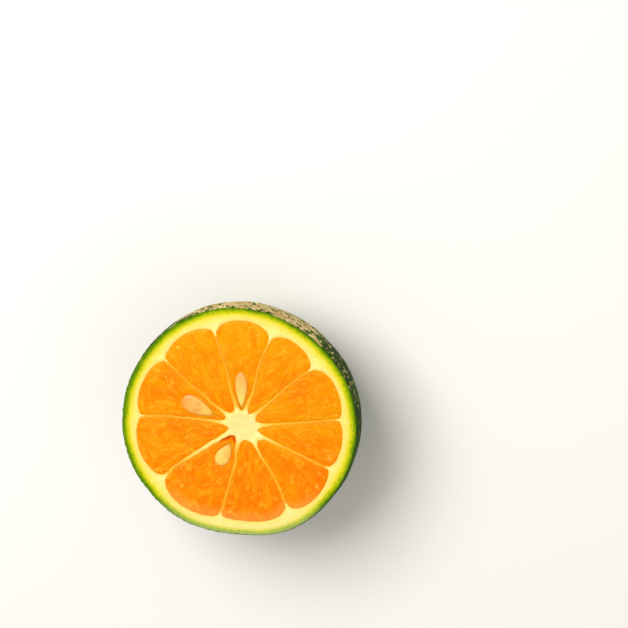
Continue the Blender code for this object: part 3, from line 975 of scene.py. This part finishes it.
def seated(plan, height):
    """Sinks a bed for each seed into the flesh, and gives the share of painted shade at each point
    beside a seed, most towards its point.
    """
    pocket = np.zeros(len(plan))
    seat = CUT_Z - SEED_WIDEST_BELOW_CUT
    for x, y, tip_angle, length, width, thickness in SEEDS:
        tip = np.array([math.cos(math.radians(tip_angle)), math.sin(math.radians(tip_angle))])
        along = (plan - (x, y)) @ tip / (length / 2)
        slim = 1.0 - SEED_TAPER * np.clip(along, -1.0, 1.0)
        aside = (plan - (x, y)) @ np.array([-tip[1], tip[0]]) / (width / 2 * slim)
        far = np.hypot(along, aside)
        height = seat + (height - seat) * smoothly(*SEED_SEAT_EDGE, far)
        in_bed = np.sqrt(np.maximum(1.0 - (far / SEED_SEAT) ** 2, 0.0))
        height = height - (thickness - SEED_PRESSED_IN) * in_bed
        # Painted shade in the flesh just round the seed, strongest towards its point.
        pocket = np.maximum(pocket, (1.0 - smoothly(1.0, 1.5, far)) * smoothly(-0.5, 0.8, along))
    return height, pocket


def pulp_points(segment, column, row):
    across = np.sin(math.pi / 2 * (2.0 * column / PULP_COLUMNS - 1.0))
    outward = row / PULP_ROWS
    segments = np.full(len(row), segment)
    flat, half_width, depth = section(segments, across, outward, 1.0, -PULP_OVERLAP)
    edge = np.minimum((1.0 - np.abs(across)) * half_width,
                      np.minimum(1.0 - outward, outward) * depth)
    inner = smoothly(0.0, SHOULDER_LENGTH, edge)
    relief, values = sac_relief(segment, flat)
    height = CUT_Z - SHOULDER_DROP * (1.0 - inner) + BULGE * smoothly(0.0, BULGE_LENGTH, edge)
    height += relief * (0.25 + 0.75 * inner)
    height += PULP_GRAIN * waves(flattened(flat), PULP_GRAIN_LENGTH, PULP_GRAIN_DRAW + segment)

    plan = wander(flat + CORE_CENTRE)
    height, pocket = seated(plan, height)
    beside = np.minimum((1.0 + across) * half_width, outward * depth)
    hollow = 1.0 - smoothly(*HOLLOW_EDGE, beside)
    hollow *= (1.0 - smoothly(*HOLLOW_ENDS, lengths(flat))) * (segment == HOLLOW_SEGMENT)
    height = height - HOLLOW_DEPTH * hollow
    values |= {"segment": segments, "across": across, "outward": outward, "edge": edge / MM,
               "pocket": pocket, "hollow": hollow}
    return np.column_stack([plan, height]), values


PULP_DEEP = paint(248, 130, 0)
PULP_PLAIN = paint(245, 150, 0)
PULP_PATCH_SIZE = 12.0 * MM
PULP_BACK = paint(246, 160, 0)
PULP_BACK_SIDE = (6.0 * MM, 22.0 * MM)
PULP_FRONT = paint(254, 116, 0)
PULP_FRONT_SIDE = (-6.0 * MM, 14.0 * MM)
PULP_DARK_SAC = paint(252, 120, 0)
PULP_LIGHT_SAC = paint(250, 160, 0)
PULP_OPENED_SAC = paint(240, 124, 0)
PULP_CLOUD = paint(252, 166, 8)
PULP_SHADE = paint(242, 118, 0)
PULP_FLECK = paint(253, 180, 32)
PULP_GLINT = paint(254, 198, 72)
PULP_MEMBRANE = paint(254, 180, 28)
PULP_BY_WALL = paint(252, 160, 12)
PULP_FROST = paint(252, 166, 72)
PULP_FROST_SIDE = (15.0 * MM, 22.0 * MM)
PULP_FROST_GRAIN = 2.0 * MM
PULP_SHORTENED = 0.62
PULP_SEGMENTS_APART = 9.0
PULP_POCKET_SHADE = paint(206, 132, 6)
# The hollow's flesh is redder and darker: partly its own colour, partly painted shade.
PULP_HOLLOW_RED_AND_SHADE = paint(232, 96, 2)
# A brown line along the hollow's edge: partly a stain, partly painted shadow under the wall.
PULP_HOLLOW_EDGE_STAIN_AND_SHADOW = paint(168, 72, 8)
PULP_BUMP = 0.04 * MM
PULP_SHEEN = paint(255, 206, 140)


def pulp_material():
    """Flesh whose clouds, flecks and bumps are drawn out towards the core as its sacs are."""
    made, place = new_material("wet_pulp")
    own = kept_value(place, "own")
    edge = kept_value(place, "edge")
    outward = kept_value(place, "outward")
    hollow = kept_value(place, "hollow")
    back = along_axis(place, 1)
    front = 0.0 - back
    drawn = place.node("ShaderNodeCombineXYZ", {}, {
        0: kept_value(place, "around"),
        1: PULP_SHORTENED * kept_value(place, "reach"),
        2: PULP_SEGMENTS_APART * kept_value(place, "segment"),
    })
    membrane = kept_value(place, "groove") * between(0.54, 0.64, noise(drawn, 1.5, 1.0))
    # Painted highlights: short pale glints on the sacs' wet walls.
    glints = between(0.64, 0.76, noise(drawn, 0.85, 1.0, 0.5, 0.5))
    frost = between(*PULP_FROST_SIDE, front) * (0.4 + noise(place, PULP_FROST_GRAIN, 3.0))
    brown_stain_and_shadow = between(0.5, 0.9, hollow) * (1.0 - between(0.05, 0.35, edge))
    colour = painted_over(
        PULP_DEEP,
        (PULP_PLAIN, between(0.35, 0.65, noise(place, PULP_PATCH_SIZE))),
        (PULP_BACK, 0.7 * between(*PULP_BACK_SIDE, back)),
        (PULP_FRONT, 0.5 * between(*PULP_FRONT_SIDE, front)),
        (PULP_DARK_SAC, 0.35 * between(0.55, 1.0, own)),
        (PULP_LIGHT_SAC, 0.3 * (1.0 - between(0.0, 0.4, own))),
        (PULP_CLOUD, 0.45 * between(0.48, 0.72, noise(drawn, 1.9, 2.0, 0.5, 0.8))),
        (PULP_SHADE, 0.35 * between(0.54, 0.76, noise(drawn, 1.3, 1.0, 0.5, 1.0))),
        (PULP_FLECK, 0.40 * between(0.54, 0.74, noise(drawn, 1.7, 1.0, 0.5, 0.6))),
        # Painted highlights, more of them towards the rind.
        (PULP_GLINT, 0.45 * glints * (0.3 + between(0.45, 0.9, outward))),
        (PULP_OPENED_SAC, 0.15 * kept_value(place, "opened")),
        (PULP_MEMBRANE, 0.4 * membrane),
        (PULP_BY_WALL, 0.4 * (1.0 - between(0.0, 0.55, edge))),
        (PULP_FROST, 0.6 * frost * between(0.84, 1.0, outward)),
        # Painted shade in the flesh round each seed.
        (PULP_POCKET_SHADE, 0.6 * kept_value(place, "pocket")),
        # The hollow is painted redder and darker, partly as painted shade, with a line of brown stain
        # and painted shadow along its edge.
        (PULP_HOLLOW_RED_AND_SHADE, 0.9 * between(0.05, 0.75, hollow)),
        (PULP_HOLLOW_EDGE_STAIN_AND_SHADOW, 0.6 * brown_stain_and_shadow),
    )
    roughness = 0.26 + 0.22 * noise(drawn, 0.5)
    finish_material(made, colour, roughness, noise(drawn, 0.8, 2.0, 0.5, 1.0), PULP_BUMP,
                    Subsurface_Weight=0.25, Subsurface_Scale=0.003, Subsurface_Radius=(1.0, 0.4, 0.1),
                    Specular_IOR_Level=0.18, Specular_Tint=PULP_SHEEN)
    return made


wet_pulp = pulp_material()
for segment in range(len(SEGMENTS)):
    pulp, pulp_column, pulp_row = add_sheet(f"pulp_{segment + 1:02d}", PULP_COLUMNS, PULP_ROWS)
    place_points(pulp, *pulp_points(segment, pulp_column, pulp_row))
    bpy.ops.object.mode_set(mode="EDIT")
    bpy.ops.mesh.select_mode(type="VERT")
    bpy.ops.mesh.select_all(action="DESELECT")
    bpy.ops.mesh.select_non_manifold()
    draw_down(pulp, -PULP_OVERLAP)
    face_outwards()
    pulp.data.materials.append(wet_pulp)
    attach(pulp, "root")
    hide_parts(f"segment_{segment + 1:02d}")


# Calyx
# The dry star of five sepals sits in the basin at the stem end, under the half, with the round
# scar of the snapped stem in its middle.

CALYX_LOBES = 5
CALYX_LOBE_POWER = 0.8
CALYX_RADIUS = 2.5 * MM
CALYX_NOTCH_RADIUS = 1.5 * MM
CALYX_THICKNESS = 0.5 * MM
CALYX_CURL = 0.20 * MM
CALYX_ROOF = BASIN_DEPTH - 0.15 * MM
CALYX_ROOF_SHARE = 0.35
CALYX_GRAIN = 0.03 * MM
CALYX_GRAIN_LENGTH = 0.8 * MM
CALYX_GRAIN_DRAW = 95
CALYX_VEINS = 35
SCAR_RADIUS = 1.0 * MM
SCAR_HEIGHT = 0.5 * MM
SCAR_DIP = 0.18 * MM
CALYX_COLUMNS = 200
CALYX_ROWS = 44

CALYX_SHADE = paint(96, 84, 40)
CALYX_DRY = paint(150, 132, 70)
CALYX_SCAR = paint(176, 148, 96)
CALYX_SPECKS = 0.5 * MM
CALYX_BUMP = 0.06 * MM


def calyx_points(column, row):
    """The star, from the middle of its roof over its edge to the scar in the middle below."""
    turn = 2.0 * math.pi * (column % CALYX_COLUMNS) / CALYX_COLUMNS
    walk = row / CALYX_ROWS
    lobe = (0.5 + 0.5 * np.cos(CALYX_LOBES * turn)) ** CALYX_LOBE_POWER
    star = CALYX_NOTCH_RADIUS + (CALYX_RADIUS - CALYX_NOTCH_RADIUS) * lobe
    back_in = np.clip((1.0 - walk) / (1.0 - CALYX_ROOF_SHARE), 0.0, 1.0)
    share = np.where(walk < CALYX_ROOF_SHARE, walk / CALYX_ROOF_SHARE, back_in)
    reach = star * share
    under = CALYX_THICKNESS * smoothly(0.30, 0.40, walk)
    scar = SCAR_HEIGHT * (1.0 - smoothly(0.85, 1.1, reach / SCAR_RADIUS))
    scar -= SCAR_DIP * (1.0 - smoothly(0.0, 0.8, reach / SCAR_RADIUS))
    scar *= walk > CALYX_ROOF_SHARE
    curl = CALYX_CURL * lobe * smoothly(0.55, 1.0, share)
    points = np.stack([reach * np.cos(turn), reach * np.sin(turn),
                       CALYX_ROOF - under - scar - curl], axis=1)
    grain = waves(points, CALYX_GRAIN_LENGTH, CALYX_GRAIN_DRAW) + np.sin(CALYX_VEINS * turn) * share
    points[:, 2] -= CALYX_GRAIN * grain * smoothly(0.0, CALYX_ROOF_SHARE, walk)
    return points, {"scar": scar / SCAR_HEIGHT}


def calyx_material():
    made, place = new_material("dry_calyx")
    grain = noise(place, CALYX_SPECKS, 4.0, 0.65)
    colour = painted_over(
        CALYX_SHADE,
        (CALYX_DRY, between(0.35, 0.65, grain)),
        (CALYX_SCAR, between(0.3, 0.9, kept_value(place, "scar"))),
    )
    finish_material(made, colour, 0.7 + 0.2 * grain, grain, CALYX_BUMP)
    return made


calyx, calyx_column, calyx_row = add_sheet("stem_star", CALYX_COLUMNS, CALYX_ROWS)
place_points(calyx, *calyx_points(calyx_column, calyx_row))
weld()
face_outwards()
calyx.data.materials.append(calyx_material())
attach(calyx, "root")
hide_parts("calyx")


# Floor
# A plain sheet of pale paper that the half lies on. It is far wider than the view, and its
# colour clouds a little.

FLOOR_WIDTH = 3.0
FLOOR_PALE = paint(250, 245, 238)
FLOOR_WARM = paint(246, 241, 234)
FLOOR_CLOUDS = 0.2
FLOOR_GRAIN = 1.0 * MM
FLOOR_BUMP = 0.01 * MM

floor = add_piece("floor", bpy.ops.mesh.primitive_plane_add, size=FLOOR_WIDTH)
paper, floor_place = new_material("pale_floor")
paper_colour = painted_over(FLOOR_PALE, (FLOOR_WARM, noise(floor_place, FLOOR_CLOUDS)))
finish_material(paper, paper_colour, 0.6, noise(floor_place, FLOOR_GRAIN), FLOOR_BUMP)
floor.data.materials.append(paper)


# Light
# A large soft light stands up and to the left of the camera, a weak one fills from the right,
# and a white room does the rest.

KEY_PLACE = Vector((-0.22, 0.32, 0.60))
KEY_SIZE = 0.45
KEY_POWER = 4.3
FILL_PLACE = Vector((0.45, -0.35, 0.45))
FILL_SIZE = 0.5
FILL_POWER = 0.5
ROOM_COLOUR = (1.0, 1.0, 1.0, 1.0)
ROOM_STRENGTH = 0.45


def add_light(name, place, size, power):
    """A square light that faces the origin."""
    turn = (-place).to_track_quat("-Z", "Y").to_euler()
    bpy.ops.object.select_all(action="DESELECT")
    bpy.ops.object.light_add(type="AREA", location=place, rotation=turn)
    light = bpy.context.object
    light.name = name
    light.data.size = size
    light.data.energy = power


add_light("key", KEY_PLACE, KEY_SIZE, KEY_POWER)
add_light("fill", FILL_PLACE, FILL_SIZE, FILL_POWER)
room = bpy.data.worlds.new("white_room")
room.use_nodes = True
fill_sockets(room.node_tree.nodes["Background"], {"Color": ROOM_COLOUR, "Strength": ROOM_STRENGTH})
bpy.context.scene.world = room
bpy.context.scene.view_settings.view_transform = "Standard"


# Camera
# It looks steeply down on the cut face, which lies left of and below the middle of the frame.

LEAN_ANGLE = math.radians(18.3)
LEAN_TOWARDS = math.radians(50.0)
DISTANCE = 0.6
SENSOR_MM = 36.0
LENS_MM = 138.0
AIM_RIGHT = 18.8 * MM
AIM_UP = 27.6 * MM

face_centre = Vector((-MIDDLE[0], -MIDDLE[1], CUT_Z))
lean = Quaternion((-math.sin(LEAN_TOWARDS), math.cos(LEAN_TOWARDS), 0.0), LEAN_ANGLE)
camera_place = face_centre + lean @ Vector((0.0, 0.0, DISTANCE))
aim = face_centre + lean @ Vector((AIM_RIGHT, AIM_UP, 0.0))
back = (camera_place - aim).normalized()
right = (lean @ Vector((0.0, 1.0, 0.0))).cross(back).normalized()
up = back.cross(right)
bpy.ops.object.select_all(action="DESELECT")
bpy.ops.object.camera_add(location=camera_place)
camera = bpy.context.object
camera.rotation_euler = Matrix((right, up, back)).transposed().to_euler()
camera.data.sensor_width = SENSOR_MM
camera.data.lens = LENS_MM
bpy.context.scene.camera = camera
